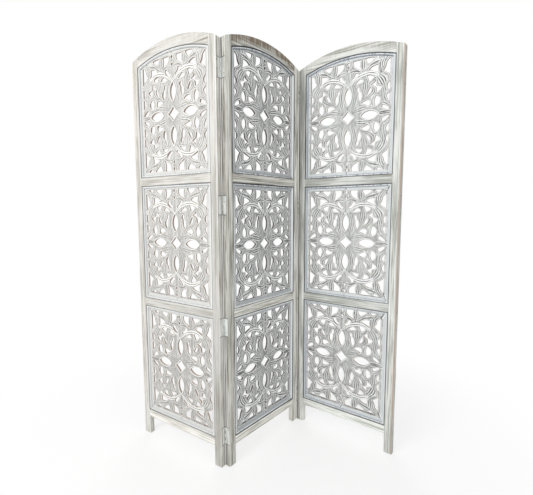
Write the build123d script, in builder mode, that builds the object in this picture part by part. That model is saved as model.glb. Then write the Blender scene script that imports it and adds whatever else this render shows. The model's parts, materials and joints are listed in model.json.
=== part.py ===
from build123d import *
from math import atan2, degrees, radians, sqrt, tan
import os

os.makedirs("parts", exist_ok=True)

# A folding screen of three framed leaves that stand in a zigzag. All sizes are millimetres.
# The origin is on the floor, in the middle of the screen's footprint.

# Leaf frame
leaf_width = 485.0
leaf_thickness = 25.0
stile_width = 37.0
rail_height = 38.0
leg_height = 88.0
opening_height = 518.0  # clear height of each opening, the arched one at its crown
crown_depth = 44.0  # depth of the arched rail at its crown
arch_radius = 605.0  # of the rail's underside and of the leaf's crest
crest_rounding = 8.0  # where the crest meets the leaf's side
arris_chamfer = 0.8  # eased edges of the frame

# Mortise and tenon joints
tenon_thickness = 9.0
tenon_shoulder = 5.0
mortise_clearance = 0.15
mortise_end_clearance = 1.0
screw_wall = 4.0  # between the ends of the tenons and the hinge screws

# Panels and the beads that hold them
panel_thickness = 9.0
panel_clearance = 0.5
bead_width = 10.0
bead_setback = 0.8  # bead's crown behind the face of the frame
bead_rounding = 4.5
bead_flat = 0.3  # least flat left beside the rounding
mitre_gap = 0.3
border_width = 13.0  # plain margin of the board between bead and fretwork
crest_border = 5.0  # least margin between a bead and the fretwork

# Folds
left_fold_angle = 98.7  # between the backs of the left and middle leaves
right_fold_angle = 95.6  # between the fronts of the middle and right leaves
leaf_gap = 0.6  # between two leaves when they are opened flat

# Hinges, four to a fold, each level taken at the middle of the hinge
lowest_hinge_level = 135.0
lower_hinge_drop = 34.0  # below the underside of the lower rail
upper_hinge_drop = 90.0  # below the underside of the upper rail
crest_hinge_drop = 114.0  # below the top of the leaf's end
hinge_length = 75.0
plate_margin = 3.0  # from the plate to the far face of the leaf
plate_thickness = 1.6
plate_clearance = 0.1
pin_offset = 0.5  # from the face of the leaf to the middle of the pin
pin_radius = 1.5
pin_clearance = 0.05
pin_head_radius = 2.3
pin_head_height = 1.2
barrel_radius = 2.5
barrel_clearance = 0.2  # between a barrel and the timber or the other plate
knuckle_count = 5
knuckle_gap = 0.3

# Screws
screw_length = 15.0
screw_head_radius = 3.2
screw_head_angle = 90.0
screw_shank_radius = 1.75
screw_tip_length = 3.0
screw_tip_radius = 0.4
screw_clearance = 0.08
screw_end_margin = 10.0  # from the end of the plate to the outer screws
screw_stagger = 3.5
screw_slot_length = 4.2
screw_slot_width = 0.8
screw_slot_depth = 0.7

# Fretwork, drawn about the centre of a panel: each opening is a loop of arcs, given as a corner,
# a point that the arc passes through, the next corner, and so on round
motif_half_width = 178.5
motif_half_height = 232.0
centre_eye = [(27, 0), (12.5, 12), (0, 26), (-12.5, 12), (-27, 0), (-12.5, -12), (0, -26), (12.5, -12)]
side_petal = [(60, 0), (96, 17), (132, 0), (96, -17)]
crown_petal = [(0, 52), (14.5, 88), (0, 124), (-14.5, 88)]
axis_pips = [(0, 196), (0, 225)]
pip_radius = 5.0
quarter_openings = {
    "petal slot": [(44, 122), (50, 114), (50, 106), (61, 87), (53, 62), (45, 82), (45, 102), (38.5, 112)],
    "bean": [(61, 50), (76, 60.5), (93, 61), (97, 50), (89, 38), (78, 45)],
    "lens": [(123, 74), (139, 56), (120, 33), (115.5, 52)],
    "leaf slot": [(98, 112), (99.5, 96), (82, 82), (88, 97)],
    "forked eye": [
        (101, 122), (111, 126), (119, 139), (121, 129), (122, 115), (132, 112),
        (145, 106), (137, 95), (125, 88), (123, 98), (122, 108), (113, 115),
    ],
    "upper edge eye": [(183, 123), (166.5, 104), (183, 86), (190, 104)],
    "lower edge eye": [(184, 78), (173, 75), (164.5, 67), (171, 51), (184, 36), (190, 58)],
    "sloping slot": [(152, 33), (168, 25), (180, 10), (163, 13.5), (149, 21), (147.5, 28)],
    "corner eye": [
        (186, 213), (166, 203), (161, 189), (157, 179), (150, 170),
        (162, 161), (173, 154), (176, 144), (186, 130), (192, 172),
    ],
    "outer scroll eye": [(82, 161), (98, 160.5), (111, 151), (102, 142), (90, 138.5), (87, 150)],
    "inner scroll eye": [(32, 136), (42, 144.5), (52, 154), (61, 150), (67, 140), (49, 137)],
    "crest triangle": [(91, 184), (107, 194), (129, 195), (127.5, 181), (133, 164), (113, 174)],
    "crossing slot": [
        (13, 158), (24, 166), (31, 180), (38, 180), (43, 173), (35, 160), (22, 152), (16, 152.5),
    ],
    "top eye": [(27, 238), (22, 218), (31, 204), (43, 197), (59, 186), (52, 204), (57, 238), (42, 244)],
    "top bud": [(74, 238), (79, 220), (88, 209.5), (102, 217), (120, 238), (97, 246)],
    "top tip": [(130, 238), (135, 226), (144, 221), (152, 226), (160, 238), (145, 244)],
}

# Boards whose fretwork was cut off centre, and how far to the right and up
fretwork_shifts = {
    ("left_leaf", "middle"): (-6.0, 6.0),
    ("left_leaf", "bottom"): (4.0, 4.0),
    ("middle_leaf", "bottom"): (0.0, 3.0),
    ("right_leaf", "bottom"): (-8.0, 6.0),
}

# Sizes that follow from those above
half_width = leaf_width / 2
half_thickness = leaf_thickness / 2
opening_half = half_width - stile_width
storey = rail_height + opening_height
rail_levels = {
    "bottom_rail": leg_height,
    "lower_rail": leg_height + storey,
    "upper_rail": leg_height + 2 * storey,
}
panel_floors = {
    "bottom": leg_height + rail_height,
    "middle": leg_height + storey + rail_height,
    "top": leg_height + 2 * storey + rail_height,
}
crown_level = panel_floors["top"] + opening_height
crest_level = crown_level + crown_depth
pin_reach = half_width + leaf_gap / 2
pin_depth = half_thickness + pin_offset
tenon_length = stile_width - screw_length - screw_wall
mortise_length = tenon_length + mortise_end_clearance
plate_width = leaf_thickness - plate_margin
barrel_recess_length = hinge_length + 2 * (pin_head_height + barrel_clearance)


def arc_level(crown, radius, reach):
    """Height of an arch with this crown, at a distance from its middle."""
    return crown - radius + sqrt(radius**2 - reach**2)


def crest_at(reach):
    """Height of the leaf's top edge, at a distance from its middle."""
    return arc_level(crest_level, arch_radius, reach)


hinge_levels = [
    lowest_hinge_level,
    rail_levels["lower_rail"] - lower_hinge_drop,
    rail_levels["upper_rail"] - upper_hinge_drop,
    crest_at(half_width) - crest_hinge_drop,
]

# The tenons of the arched rail, between its underside and the crest
shoulder_level = arc_level(crown_level, arch_radius, opening_half)
crest_tenon_floor = shoulder_level + tenon_shoulder
crest_tenon_height = crest_at(opening_half + mortise_length) - tenon_shoulder - crest_tenon_floor
crest_tenon_level = crest_tenon_floor + crest_tenon_height / 2

# Each leaf's place: the leaf's own x runs along it, y to its back and z up
middle_place = Location((0, 0, 0))
left_place = Pos(-pin_reach, pin_depth, 0) * Rot(0, 0, left_fold_angle - 180) * Pos(-pin_reach, -pin_depth, 0)
right_place = Pos(pin_reach, -pin_depth, 0) * Rot(0, 0, right_fold_angle - 180) * Pos(pin_reach, pin_depth, 0)

# The screen stands with its two free ends square to the front
left_end = (left_place * Pos(-half_width, 0, 0)).position
right_end = (right_place * Pos(half_width, 0, 0)).position
squaring = Rot(0, 0, -degrees(atan2(right_end.Y - left_end.Y, right_end.X - left_end.X)))
corners = [
    (squaring * place * Pos(x, y, 0)).position
    for place in (left_place, middle_place, right_place)
    for x in (-half_width, half_width)
    for y in (-half_thickness, half_thickness)
]
middle_x = (min(c.X for c in corners) + max(c.X for c in corners)) / 2
middle_y = (min(c.Y for c in corners) + max(c.Y for c in corners)) / 2
standing = Pos(-middle_x, -middle_y, 0) * squaring
places = {
    "left_leaf": standing * left_place,
    "middle_leaf": standing * middle_place,
    "right_leaf": standing * right_place,
}


def face_plane(leaf):
    """The leaf's middle plane: x along the leaf, y up, and z out of its front."""
    return Plane(places[leaf] * Rot(90, 0, 0))


def end_plane(leaf, side):
    """The end of a leaf, at the floor: y up and z out of the leaf. Side is -1 left or 1 right."""
    return Plane(places[leaf] * Pos(side * half_width, 0, 0) * Rot(90, side * 90, 0))


def save(piece, name):
    piece.part.label = name
    export_step(piece.part, f"parts/{name}.step")


# Hinge sides: leaf, side of the leaf, side of the knuckles (1 back, -1 front), and whether
# this leaf has the odd knuckles, the first and the last among them
hinge_sides = {
    "left_fold_left": ("left_leaf", 1, 1, False),
    "left_fold_middle": ("middle_leaf", -1, 1, True),
    "right_fold_middle": ("middle_leaf", 1, -1, True),
    "right_fold_right": ("right_leaf", -1, -1, False),
}
screw_rows = [
    (-hinge_length / 2 + screw_end_margin, -screw_stagger),
    (0, screw_stagger),
    (hinge_length / 2 - screw_end_margin, -screw_stagger),
]


def plate_centre(side, knuckle_side):
    """The middle of a hinge plate across the leaf's thickness, on its end plane."""
    return side * knuckle_side * (half_thickness - plate_width / 2)


def pin_point(side, knuckle_side):
    """The middle of a fold's pins, on the floor plan of a leaf."""
    return side * pin_reach, knuckle_side * pin_depth


def screw_points(side, knuckle_side):
    """The twelve screws of one side of a fold, on the end plane of its leaf."""
    across = plate_centre(side, knuckle_side)
    return [(across + shift, level + rise, 0) for level in hinge_levels for rise, shift in screw_rows]


# Stiles
for leaf in places:
    face = face_plane(leaf)
    for side, side_name in ((-1, "left"), (1, "right")):
        with BuildPart() as stile:
            with BuildSketch(face.offset(-half_thickness)) as profile:
                with BuildLine():
                    outer = side * half_width
                    inner = side * opening_half
                    middle = (outer + inner) / 2
                    outer_top = (outer, crest_at(outer))
                    inner_top = (inner, crest_at(inner))
                    Polyline(outer_top, (outer, 0), (inner, 0), inner_top)
                    ThreePointArc(inner_top, (middle, crest_at(middle)), outer_top)
                make_face()
                outer_corners = profile.vertices().group_by(Axis.X)[-1 if side > 0 else 0]
                fillet(outer_corners.sort_by(Axis.Y)[-1], radius=crest_rounding)
            extrude(amount=leaf_thickness)
            broad_faces = stile.faces().filter_by(Axis(face.origin, face.z_dir))
            chamfer(broad_faces.edges(), length=arris_chamfer)
            mortise_centre = side * (opening_half + mortise_length / 2)
            with BuildSketch(face):
                for level in rail_levels.values():
                    with Locations((mortise_centre, level + rail_height / 2)):
                        Rectangle(mortise_length, rail_height - 2 * tenon_shoulder + 2 * mortise_clearance)
                with Locations((mortise_centre, crest_tenon_level)):
                    Rectangle(mortise_length, crest_tenon_height + 2 * mortise_clearance)
            extrude(amount=tenon_thickness / 2 + mortise_clearance, both=True, mode=Mode.SUBTRACT)
            for hinge_leaf, hinge_side, knuckle_side, _ in hinge_sides.values():
                if (hinge_leaf, hinge_side) == (leaf, side):
                    end = end_plane(leaf, side)
                    across = plate_centre(side, knuckle_side)
                    with BuildSketch(end.offset(-plate_thickness)):
                        with Locations(*[(across, level) for level in hinge_levels]):
                            Rectangle(plate_width + 2 * plate_clearance, hinge_length + 2 * plate_clearance)
                    extrude(amount=2 * plate_thickness, mode=Mode.SUBTRACT)
                    with Locations(end):
                        with Locations(*screw_points(side, knuckle_side)):
                            CounterSinkHole(
                                screw_shank_radius + screw_clearance,
                                screw_head_radius + screw_clearance,
                                depth=screw_length + screw_clearance,
                                counter_sink_angle=screw_head_angle,
                            )
                    for level in hinge_levels:
                        with BuildSketch(Plane(places[leaf]).offset(level - barrel_recess_length / 2)):
                            with Locations(pin_point(side, knuckle_side)):
                                Circle(barrel_radius + barrel_clearance)
                        extrude(amount=barrel_recess_length, mode=Mode.SUBTRACT)
        save(stile, f"{leaf}_{side_name}_stile")


# Straight rails
for leaf in places:
    face = face_plane(leaf)
    for rail_name, level in rail_levels.items():
        with BuildPart() as rail:
            with BuildSketch(face.offset(-half_thickness)):
                with Locations((0, level + rail_height / 2)):
                    Rectangle(2 * opening_half, rail_height)
            extrude(amount=leaf_thickness)
            broad_faces = rail.faces().filter_by(Axis(face.origin, face.z_dir))
            chamfer(broad_faces.edges(), length=arris_chamfer)
            with BuildSketch(face):
                with Locations((0, level + rail_height / 2)):
                    Rectangle(2 * (opening_half + tenon_length), rail_height - 2 * tenon_shoulder)
            extrude(amount=tenon_thickness / 2, both=True)
        save(rail, f"{leaf}_{rail_name}")


# Arched top rails
for leaf in places:
    face = face_plane(leaf)
    end_level = crest_at(opening_half)
    with BuildPart() as top_rail:
        with BuildSketch(face.offset(-half_thickness)):
            with BuildLine():
                springs = [(-opening_half, shoulder_level), (opening_half, shoulder_level)]
                ends = [(-opening_half, end_level), (opening_half, end_level)]
                ThreePointArc(springs[0], (0, crown_level), springs[1])
                ThreePointArc(ends[0], (0, crest_level), ends[1])
                Line(springs[0], ends[0])
                Line(springs[1], ends[1])
            make_face()
        extrude(amount=leaf_thickness)
        broad_faces = top_rail.faces().filter_by(Axis(face.origin, face.z_dir))
        chamfer(broad_faces.edges(), length=arris_chamfer)
        with BuildSketch(face):
            tenon_centre = opening_half + (tenon_length - tenon_shoulder) / 2
            with Locations((-tenon_centre, crest_tenon_level), (tenon_centre, crest_tenon_level)):
                Rectangle(tenon_length + tenon_shoulder, crest_tenon_height)
        extrude(amount=tenon_thickness / 2, both=True)
    save(top_rail, f"{leaf}_top_rail")


def opening_shape(storey_name, margin):
    """The face of a panel opening, drawn this far inside the frame."""
    floor = panel_floors[storey_name] + margin
    reach = opening_half - margin
    ceiling = panel_floors[storey_name] + opening_height - margin
    arched = storey_name == "top"
    spring = arc_level(ceiling, arch_radius - margin, reach) if arched else ceiling
    with BuildSketch() as shape:
        with BuildLine():
            Polyline((-reach, spring), (-reach, floor), (reach, floor), (reach, spring))
            if arched:
                ThreePointArc((reach, spring), (0, ceiling), (-reach, spring))
            else:
                Line((reach, spring), (-reach, spring))
        make_face()
    return shape.sketch


def arc_loop(points):
    """The edges of a closed loop of arcs: the points are corners and through points in turn."""
    with BuildLine() as loop:
        for start, through, finish in zip(points[::2], points[1::2], points[2::2] + points[:1]):
            ThreePointArc(start, through, finish)
    return loop.edges()


# The whole fretwork, about the centre of a panel
field_half_width = opening_half - bead_width - border_width
field_half_height = opening_height / 2 - bead_width - border_width
stretch_x = field_half_width / motif_half_width
stretch_y = field_half_height / motif_half_height


def stretched(points, flip_x=1, flip_y=1):
    return [(flip_x * stretch_x * x, flip_y * stretch_y * y) for x, y in points]


with BuildSketch() as fretwork:
    make_face(arc_loop(stretched(centre_eye)))
    for flip in (-1, 1):
        make_face(arc_loop(stretched(side_petal, flip_x=flip)))
        make_face(arc_loop(stretched(crown_petal, flip_y=flip)))
        with Locations(*stretched(axis_pips, flip_y=flip)):
            Circle(pip_radius)
        for outline in quarter_openings.values():
            make_face(arc_loop(stretched(outline, flip, 1)))
            make_face(arc_loop(stretched(outline, flip, -1)))


# Carved panels
for leaf in places:
    face = face_plane(leaf)
    for storey_name, floor in panel_floors.items():
        board = opening_shape(storey_name, panel_clearance)
        crest_limit = opening_shape(storey_name, bead_width + crest_border)
        shift_x, shift_y = fretwork_shifts.get((leaf, storey_name), (0, 0))
        with BuildSketch() as outline:
            with Locations((shift_x, floor + opening_height / 2 + shift_y)):
                Rectangle(2 * field_half_width, 2 * field_half_height)
                add(fretwork.sketch, mode=Mode.INTERSECT)
            add(crest_limit, mode=Mode.INTERSECT)
        with BuildPart() as panel:
            with BuildSketch(face.offset(-panel_thickness / 2)):
                add(board - outline.sketch)
            extrude(amount=panel_thickness)
        save(panel, f"{leaf}_{storey_name}_panel")


# Beads: four mitred strips on each face of a panel
bead_depth = half_thickness - panel_thickness / 2 - bead_setback
bead_radius = min(bead_rounding, bead_depth - bead_flat, bead_width / 2 - bead_flat)
mitre_length = 2 * bead_width  # longer than any mitre across the bead
bead_outlines = {}
for storey_name, floor in panel_floors.items():
    ceiling = floor + opening_height
    inner_reach = opening_half - bead_width
    corner_pairs = [((opening_half, floor), (inner_reach, floor + bead_width))]
    if storey_name == "top":
        outer_spring = arc_level(ceiling, arch_radius, opening_half)
        inner_spring = arc_level(ceiling - bead_width, arch_radius - bead_width, inner_reach)
        corner_pairs.append(((opening_half, outer_spring), (inner_reach, inner_spring)))
    else:
        corner_pairs.append(((opening_half, ceiling), (inner_reach, ceiling - bead_width)))
    with BuildSketch() as ring:
        add(opening_shape(storey_name, 0))
        add(opening_shape(storey_name, bead_width), mode=Mode.SUBTRACT)
        for (outer_x, outer_y), (inner_x, inner_y) in corner_pairs:
            mitre_angle = degrees(atan2(outer_y - inner_y, outer_x - inner_x))
            centre_x = (outer_x + inner_x) / 2
            centre_y = (outer_y + inner_y) / 2
            for flip in (-1, 1):
                with Locations(Location((flip * centre_x, centre_y), flip * mitre_angle)):
                    Rectangle(mitre_length, mitre_gap, mode=Mode.SUBTRACT)
    bead_outlines[storey_name] = ring.sketch

for leaf in places:
    face = face_plane(leaf)
    for storey_name, bead_outline in bead_outlines.items():
        with BuildPart() as beads:
            for seat, height in ((panel_thickness / 2, bead_depth), (-panel_thickness / 2, -bead_depth)):
                with BuildSketch(face.offset(seat)):
                    add(bead_outline)
                extrude(amount=height)
                crown_faces = beads.faces().filter_by(Axis(face.origin, face.z_dir)).group_by(
                    lambda f: round((f.center() - face.origin).dot(face.z_dir), 2)
                )[-1 if height > 0 else 0]
                long_edges = crown_faces.edges().filter_by(lambda e: e.length > 2 * bead_width)
                fillet(long_edges, radius=bead_radius)
        save(beads, f"{leaf}_{storey_name}_beads")


# Hinge plates with their knuckles, and cut back round the knuckles of the other plate
pitch = hinge_length / knuckle_count
for side_name, (leaf, side, knuckle_side, odd) in hinge_sides.items():
    end = end_plane(leaf, side)
    plan = Plane(places[leaf])
    with BuildPart() as plates:
        with BuildSketch(end.offset(-plate_thickness)):
            with Locations(*[(plate_centre(side, knuckle_side), level) for level in hinge_levels]):
                Rectangle(plate_width, hinge_length)
        extrude(amount=plate_thickness)
        for level in hinge_levels:
            foot = level - hinge_length / 2
            for knuckle in range(knuckle_count):
                own = knuckle % 2 == (0 if odd else 1)
                lift = knuckle_gap / 2 if own and knuckle > 0 else 0
                drop = knuckle_gap / 2 if own and knuckle < knuckle_count - 1 else 0
                with BuildSketch(plan.offset(foot + knuckle * pitch + lift)):
                    with Locations(pin_point(side, knuckle_side)):
                        Circle(barrel_radius if own else barrel_radius + barrel_clearance)
                extrude(amount=pitch - lift - drop, mode=Mode.ADD if own else Mode.SUBTRACT)
            with BuildSketch(plan.offset(foot)):
                with Locations(pin_point(side, knuckle_side)):
                    Circle(pin_radius + pin_clearance)
            extrude(amount=hinge_length, mode=Mode.SUBTRACT)
        with Locations(end):
            with Locations(*screw_points(side, knuckle_side)):
                CounterSinkHole(
                    screw_shank_radius + screw_clearance,
                    screw_head_radius + screw_clearance,
                    depth=2 * plate_thickness,
                    counter_sink_angle=screw_head_angle,
                )
    save(plates, f"{side_name}_hinge_plates")


# Hinge pins, headed at both ends, which stay with the middle leaf
for fold, (side, knuckle_side) in {"left_fold": (-1, 1), "right_fold": (1, -1)}.items():
    plan = Plane(places["middle_leaf"])
    with BuildPart() as pins:
        for level in hinge_levels:
            foot = level - hinge_length / 2
            for radius, start, length in (
                (pin_radius, foot - pin_head_height, hinge_length + 2 * pin_head_height),
                (pin_head_radius, foot - pin_head_height, pin_head_height),
                (pin_head_radius, foot + hinge_length, pin_head_height),
            ):
                with BuildSketch(plan.offset(start)):
                    with Locations(pin_point(side, knuckle_side)):
                        Circle(radius)
                extrude(amount=length)
    save(pins, f"{fold}_hinge_pins")


# Screws
from_face = (Align.CENTER, Align.CENTER, Align.MIN)
head_height = (screw_head_radius - screw_shank_radius) / tan(radians(screw_head_angle / 2))
into_timber = Rot(180, 0, 0)
for side_name, (leaf, side, knuckle_side, _) in hinge_sides.items():
    heads = [Pos(point) * into_timber for point in screw_points(side, knuckle_side)]
    tips = [head * Pos(0, 0, screw_length - screw_tip_length) for head in heads]
    with BuildPart() as screws:
        with Locations(end_plane(leaf, side)):
            with Locations(*heads):
                Cone(screw_head_radius, screw_shank_radius, head_height, align=from_face)
                Cylinder(screw_shank_radius, screw_length - screw_tip_length, align=from_face)
                for slot_turn in (0, 90):
                    Box(
                        screw_slot_length,
                        screw_slot_width,
                        screw_slot_depth,
                        rotation=(0, 0, slot_turn),
                        align=from_face,
                        mode=Mode.SUBTRACT,
                    )
            with Locations(*tips):
                Cone(screw_shank_radius, screw_tip_radius, screw_tip_length, align=from_face)
    save(screws, f"{side_name}_screws")
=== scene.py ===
import json
import math

import bmesh
import bpy
import numpy as np
from mathutils import Matrix, Vector
from mathutils.geometry import delaunay_2d_cdt
from mathutils.kdtree import KDTree

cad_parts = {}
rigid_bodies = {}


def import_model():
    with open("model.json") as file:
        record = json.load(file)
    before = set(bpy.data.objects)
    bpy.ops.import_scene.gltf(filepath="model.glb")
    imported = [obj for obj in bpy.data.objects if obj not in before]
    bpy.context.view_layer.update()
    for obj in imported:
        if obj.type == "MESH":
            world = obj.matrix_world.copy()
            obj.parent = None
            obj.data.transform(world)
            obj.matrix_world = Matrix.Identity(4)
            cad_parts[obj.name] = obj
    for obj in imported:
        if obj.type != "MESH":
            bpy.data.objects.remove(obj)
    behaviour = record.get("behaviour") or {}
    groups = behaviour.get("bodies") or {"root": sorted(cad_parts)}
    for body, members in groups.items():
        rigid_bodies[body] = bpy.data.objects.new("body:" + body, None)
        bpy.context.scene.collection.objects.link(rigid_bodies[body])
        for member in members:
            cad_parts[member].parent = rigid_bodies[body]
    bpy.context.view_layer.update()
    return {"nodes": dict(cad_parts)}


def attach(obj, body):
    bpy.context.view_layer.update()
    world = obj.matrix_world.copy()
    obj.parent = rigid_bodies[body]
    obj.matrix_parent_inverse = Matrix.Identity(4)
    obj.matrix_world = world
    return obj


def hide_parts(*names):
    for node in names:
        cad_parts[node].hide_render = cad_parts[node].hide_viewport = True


bpy.ops.object.select_all(action="SELECT")
bpy.ops.object.delete()
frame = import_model()
nodes = frame["nodes"]
mm = 0.001
print("frame loaded,", len(nodes), "nodes")

# Each leaf's own frame: x along the leaf, y to its back, z up, from the floor under its middle
leafPlaces = {
    "left_leaf": {"x": -0.36413134, "y": -0.11024555, "turn": -23.9792},
    "middle_leaf": {"x": 0.00503496, "y": 0.00030459, "turn": 57.3208},
    "right_leaf": {"x": 0.36917501, "y": 0.09869893, "turn": -27.0792},
}


def leafMatrix(leaf):
    place = leafPlaces[leaf]
    turned = Matrix.Rotation(math.radians(place["turn"]), 4, "Z")
    return Matrix.Translation((place["x"], place["y"], 0)) @ turned


def finishPiece(piece, leaf, node):
    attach(piece, leaf)
    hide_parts(node)


# Lengths in millimetres, and heights from the middle of the board
carving = {
    "board": 4.5,  # face of the plain margin
    "ground": 2.4,  # lowest cut
    "swell": 1.05,  # rise of the ground between two openings
    "swellReach": 9.0,
    "veinDepth": 1.5,
    "veinShare": 0.6,  # the most that a vein is cut, as a share of its rib's width
    "edgeRound": 1.8,
    "rimmedEyes": [(0, 0, 30), (96, 0, 40), (0, 88, 37.5)],  # centre and reach of each
    "rimWidth": 7.0,
    "rimTop": 5.5,
    "halfWidth": 182.5,  # of the carved field
    "halfHeight": 236.0,
    "motifWidth": 178.5,  # of the field in which the straps are drawn
    "motifHeight": 232.0,
    "marginSlope": 1.2,
    "archRadius": 590.0,  # upper edge of the field under an arch, and its centre
    "archCentre": -346.0,
    "archSteps": 24,
    "boardHalfWidth": 205.0,
    "boardHalfHeight": 258.5,
    "boardClearance": 0.5,
    "openingHeight": 518.0,
    "sharpAngle": 40.0,
    "cavityReach": 6,  # rounds of smoothing that tell a groove from a ridge
    "plainRib": 0.25,  # where there is no rib: neither a groove nor a crest
    "wallGroove": 0.5,  # the groove's value on the sides of an opening
}
# The points of the worked surface, in millimetres
carvingPoints = {
    "step": 0.8,  # spacing on the carved field
    "marginStep": 7.0,  # spacing on the plain margin
    "start": 0.4,  # first point from the middle lines
    "marginStart": 2.0,
    "fieldGap": 0.3,  # kept free inside the edge of the field
    "marginGap": 2.0,
    "edgeGap": 0.45,  # share of a step kept free along an opening
    "past": 1.0,  # reached past the middle lines, and past the field
    "sameSpot": 1e-4,
    "keep": 0.17,  # share of the faces left after thinning
}
# Distances in metres within which points count as one, or as lying on a line
weld = {"solid": 1e-6, "snap": 2e-5, "line": 1e-6, "face": 1e-5, "mirror": 1e-5, "merge": 5e-6}
# How far round an edge, and round the line of a strap, points are looked for, in millimetres
edgeSearch = 12
strapSearch = 25
thinnest = 0.1  # least half width of a strap
tiny = 1e-9
farAway = 1e9
noSurface = -99
frontFacing = -0.9  # how far a front face's normal points to the front

# Every strap is a row of (x, height, half width) from the middle of the panel, for one quarter of
# it, then its number of ribs, the level of its edges and the rise to its crown
straps = {
    "innerLobe": (
        [(14, 21, 4), (22, 38, 9), (30, 62, 13), (33, 88, 13), (31, 110, 13), (24, 130, 11),
         (13, 146, 5)],
        3, 2.9, 1.9,
    ),
    "sideLobe": (
        [(21, 14, 4), (40, 23, 11), (62, 28, 15), (82, 31, 11), (99, 29, 10), (116, 24, 8),
         (131, 19, 4)],
        3, 2.9, 1.9,
    ),
    "stem": (
        [(20, 20, 4), (38, 38, 8), (54, 55, 7), (64, 74, 10), (72, 92, 14), (77, 110, 19),
         (78, 126, 19), (78, 142, 10)],
        4, 3.0, 1.9,
    ),
    "sidePalmette": (
        [(57, 57, 4), (78, 69, 8), (98, 79, 13), (112, 92, 14), (113, 108, 9), (106, 120, 4)],
        3, 2.9, 1.8,
    ),
    "bridge": (
        [(114, 24, 5), (106, 42, 9), (107, 60, 10), (116, 76, 8), (126, 84, 5)],
        2, 2.7, 1.6,
    ),
    "fanTop": (
        [(84, 122, 4), (97, 129, 8), (111, 136, 9), (122, 150, 6)],
        2, 2.9, 1.5,
    ),
    "ringTop": (
        [(3, 131, 4), (18, 144, 7), (32, 155, 8), (50, 164, 9), (72, 169.5, 9.5),
         (95, 170, 9.5), (116, 164, 9), (130, 155, 6)],
        2, 3.9, 1.9,
    ),
    "ringLeaf": (
        [(116, 163, 5), (134, 149, 14), (149, 130, 21), (156, 107, 14), (152, 85, 17),
         (151, 62, 13), (147, 40, 12), (140, 22, 5)],
        4, 3.1, 1.9,
    ),
    "axisBud": (
        [(0, 130, 6), (0, 146, 13), (0, 166, 14), (0, 182, 13), (0, 200, 16), (0, 220, 20),
         (0, 234, 20)],
        4, 2.8, 1.8,
    ),
    "crestBand": (
        [(6, 186, 6), (24, 191, 10), (44, 187, 9), (64, 181, 7), (84, 188, 8), (104, 203, 10),
         (128, 209, 12), (146, 212, 6)],
        2, 3.1, 1.7,
    ),
    "crestLeaf": (
        [(57, 180, 5), (67, 196, 11), (66, 214, 13), (64, 234, 12)],
        3, 3.0, 1.8,
    ),
    "cornerLeaf": (
        [(136, 158, 6), (142, 172, 11), (145, 188, 17), (147, 204, 18), (156, 218, 14),
         (170, 228, 10), (180, 235, 8)],
        4, 3.0, 1.9,
    ),
    "cornerCap": (
        [(116, 216, 6), (127, 222, 8), (125, 234, 9)],
        2, 2.9, 1.5,
    ),
    "edgeLeaf": (
        [(148, 44, 5), (160, 38, 9), (171, 30, 9), (180, 20, 9)],
        2, 2.9, 1.8,
    ),
    "axisStrap": (
        [(127, 0, 5), (141, 0, 12), (155, 0, 13), (168, 0, 11), (180, 0, 10)],
        3, 3.0, 1.8,
    ),
    "edgeBridge": (
        [(158, 82, 7), (180, 82, 5)],
        2, 2.9, 1.5,
    ),
    "edgeTop": (
        [(164, 142, 5), (172, 128, 8), (181, 126, 6)],
        2, 2.8, 1.4,
    ),
}


def motifStretch():
    along = carving["halfWidth"] / carving["motifWidth"]
    return along, carving["halfHeight"] / carving["motifHeight"]


def smoothLine(points, steps=8):
    # Catmull-Rom through the strap's points
    p = np.array(points, float) * (*motifStretch(), 1)
    q = np.vstack([2 * p[0] - p[1], p, 2 * p[-1] - p[-2]])
    line = []
    for a, b, c, d in zip(q[:-3], q[1:-2], q[2:-1], q[3:]):
        for t in np.arange(steps) / steps:
            bend = (2 * a - 5 * b + 4 * c - d) * t**2
            line.append(0.5 * (2 * b + (c - a) * t + bend + (3 * b - a - 3 * c + d) * t**3))
    line.append(p[-1])
    return np.array(line)


def nearTo(x, y, ax, ay, bx, by, search):
    # the points in the box round a segment
    near = (x > min(ax, bx) - search) & (x < max(ax, bx) + search)
    return near & (y > min(ay, by) - search) & (y < max(ay, by) + search)


def distanceTo(x, y, segments):
    # least distance from each point to a set of segments
    best = np.full(x.shape, farAway)
    for ax, ay, bx, by in segments:
        dx, dy = bx - ax, by - ay
        near = nearTo(x, y, ax, ay, bx, by, edgeSearch)
        px, py = x[near] - ax, y[near] - ay
        t = np.clip((px * dx + py * dy) / max(dx * dx + dy * dy, tiny), 0, 1)
        best[near] = np.minimum(best[near], np.hypot(px - t * dx, py - t * dy))
    return best


def strapSurface(x, y, points, ribs, level, crown):
    # a strap's own surface, and how many ribs in from its edge a point is
    line = smoothLine(points)
    reach = np.full(x.shape, farAway)
    side = np.zeros(x.shape)
    width = np.ones(x.shape)
    for (ax, ay, aw), (bx, by, bw) in zip(line[:-1], line[1:]):
        dx, dy = bx - ax, by - ay
        near = nearTo(x, y, ax, ay, bx, by, strapSearch)
        px, py = x[near] - ax, y[near] - ay
        t = np.clip((px * dx + py * dy) / (dx * dx + dy * dy), 0, 1)
        ex, ey = px - t * dx, py - t * dy
        away = np.hypot(ex, ey)
        w = np.maximum(aw + (bw - aw) * t, thinnest)
        closer = away / w < reach[near]
        where = np.flatnonzero(near)[closer]
        reach[where] = (away / w)[closer]
        side[where] = (np.where(dx * ey - dy * ex >= 0, 1, -1) * away)[closer]
        width[where] = w[closer]
    across = np.clip(side / width, -1, 1)
    height = level + crown * np.sqrt(np.clip(1 - reach**2, 0, 1))
    inRibs = (1 - np.abs(across)) / 2 * ribs
    rib = inRibs - np.floor(inRibs)
    depth = np.minimum(carving["veinDepth"], carving["veinShare"] * width / ribs)
    height = height - depth * (1 - np.sqrt(np.clip(1 - (2 * rib - 1) ** 2, 0, 1)))
    return np.where(reach < 1, height, noSurface), inRibs


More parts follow.
